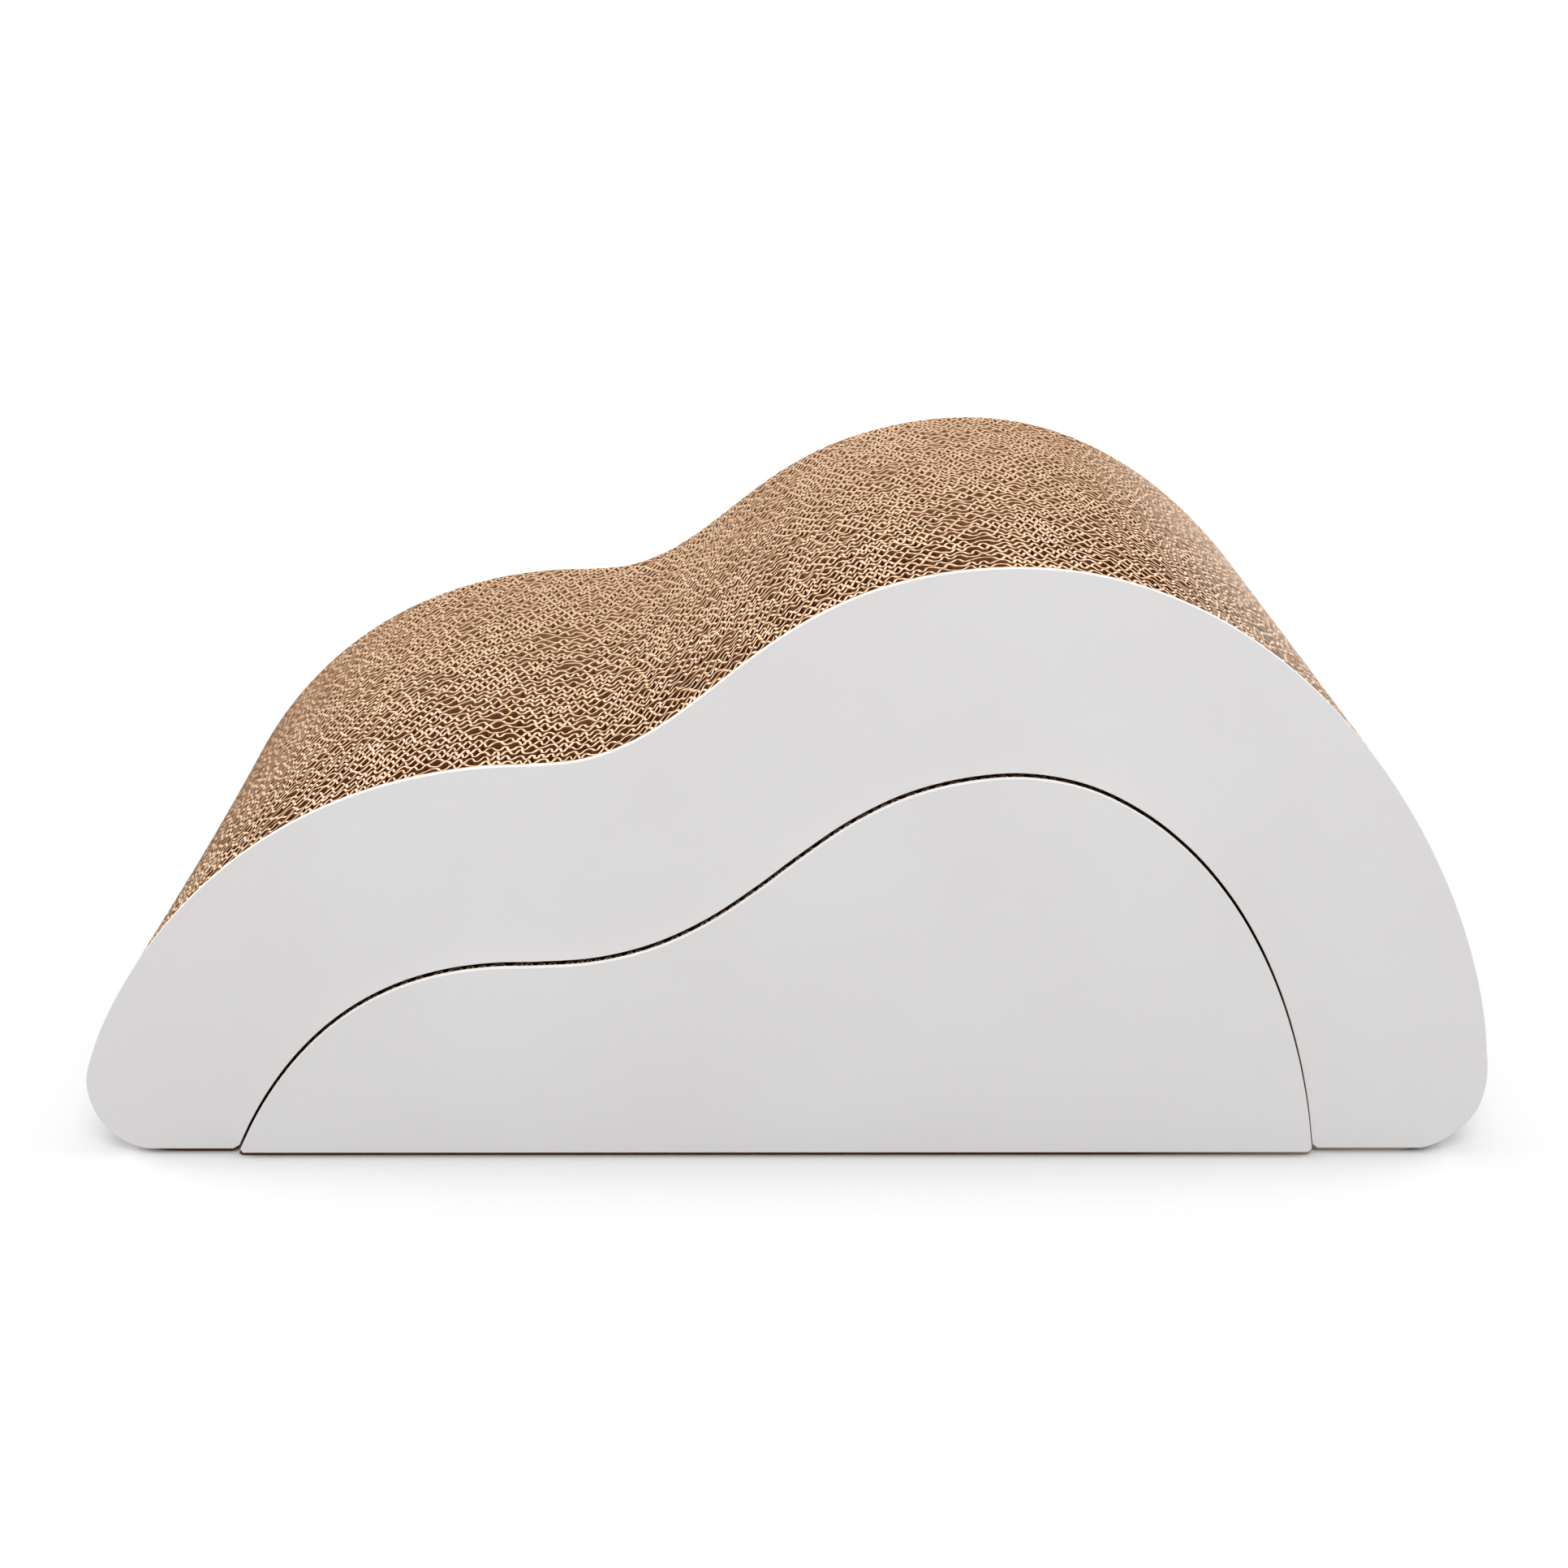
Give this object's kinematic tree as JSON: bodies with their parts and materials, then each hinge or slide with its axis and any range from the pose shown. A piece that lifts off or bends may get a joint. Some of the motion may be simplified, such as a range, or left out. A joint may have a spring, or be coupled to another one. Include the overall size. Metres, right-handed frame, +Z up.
{
  "type": "cat scratcher",
  "caption": "Two nested corrugated cardboard scratchers: a wave-topped arch and a matching bump that slides out of its tunnel, both with white cover panels.",
  "frame": {"origin": "middle of the bounding box on the surface that the scratcher stands on", "axes": "+X along the length with the crest of the wave at +X seen from the front, -Y is the front face, +Z is up"},
  "size_m": [0.5, 0.2498, 0.2195],
  "materials": {
    "kraft_board": "open cut edge of kraft corrugated board, matt and fibrous",
    "white_cover": "smooth white paper face with white cut edges, matt"
  },
  "bodies": {
    "outer_arch": {"outer_front_panel": "white_cover", "outer_layer_01": "kraft_board", "outer_layer_02": "kraft_board", "outer_layer_03": "kraft_board", "outer_layer_04": "kraft_board", "outer_layer_05": "kraft_board", "outer_layer_06": "kraft_board", "outer_layer_07": "kraft_board", "outer_layer_08": "kraft_board", "outer_layer_09": "kraft_board", "outer_layer_10": "kraft_board", "outer_layer_11": "kraft_board", "outer_layer_12": "kraft_board", "outer_layer_13": "kraft_board", "outer_layer_14": "kraft_board", "outer_layer_15": "kraft_board", "outer_layer_16": "kraft_board", "outer_layer_17": "kraft_board", "outer_layer_18": "kraft_board", "outer_layer_19": "kraft_board", "outer_layer_20": "kraft_board", "outer_layer_21": "kraft_board", "outer_layer_22": "kraft_board", "outer_layer_23": "kraft_board", "outer_layer_24": "kraft_board", "outer_layer_25": "kraft_board", "outer_layer_26": "kraft_board", "outer_layer_27": "kraft_board", "outer_layer_28": "kraft_board", "outer_back_panel": "white_cover"},
    "inner_bump": {"inner_front_panel": "white_cover", "inner_layer_01": "kraft_board", "inner_layer_02": "kraft_board", "inner_layer_03": "kraft_board", "inner_layer_04": "kraft_board", "inner_layer_05": "kraft_board", "inner_layer_06": "kraft_board", "inner_layer_07": "kraft_board", "inner_layer_08": "kraft_board", "inner_layer_09": "kraft_board", "inner_layer_10": "kraft_board", "inner_layer_11": "kraft_board", "inner_layer_12": "kraft_board", "inner_layer_13": "kraft_board", "inner_layer_14": "kraft_board", "inner_layer_15": "kraft_board", "inner_layer_16": "kraft_board", "inner_layer_17": "kraft_board", "inner_layer_18": "kraft_board", "inner_layer_19": "kraft_board", "inner_layer_20": "kraft_board", "inner_layer_21": "kraft_board", "inner_layer_22": "kraft_board", "inner_layer_23": "kraft_board", "inner_layer_24": "kraft_board", "inner_layer_25": "kraft_board", "inner_layer_26": "kraft_board", "inner_layer_27": "kraft_board", "inner_layer_28": "kraft_board", "inner_back_panel": "white_cover"}
  },
  "joints": [
    {"name": "bump_slide", "type": "slide", "parent": "outer_arch", "child": "inner_bump", "axis": [0, -1, 0], "range_m": [-0.27, 0.27]}
  ]
}
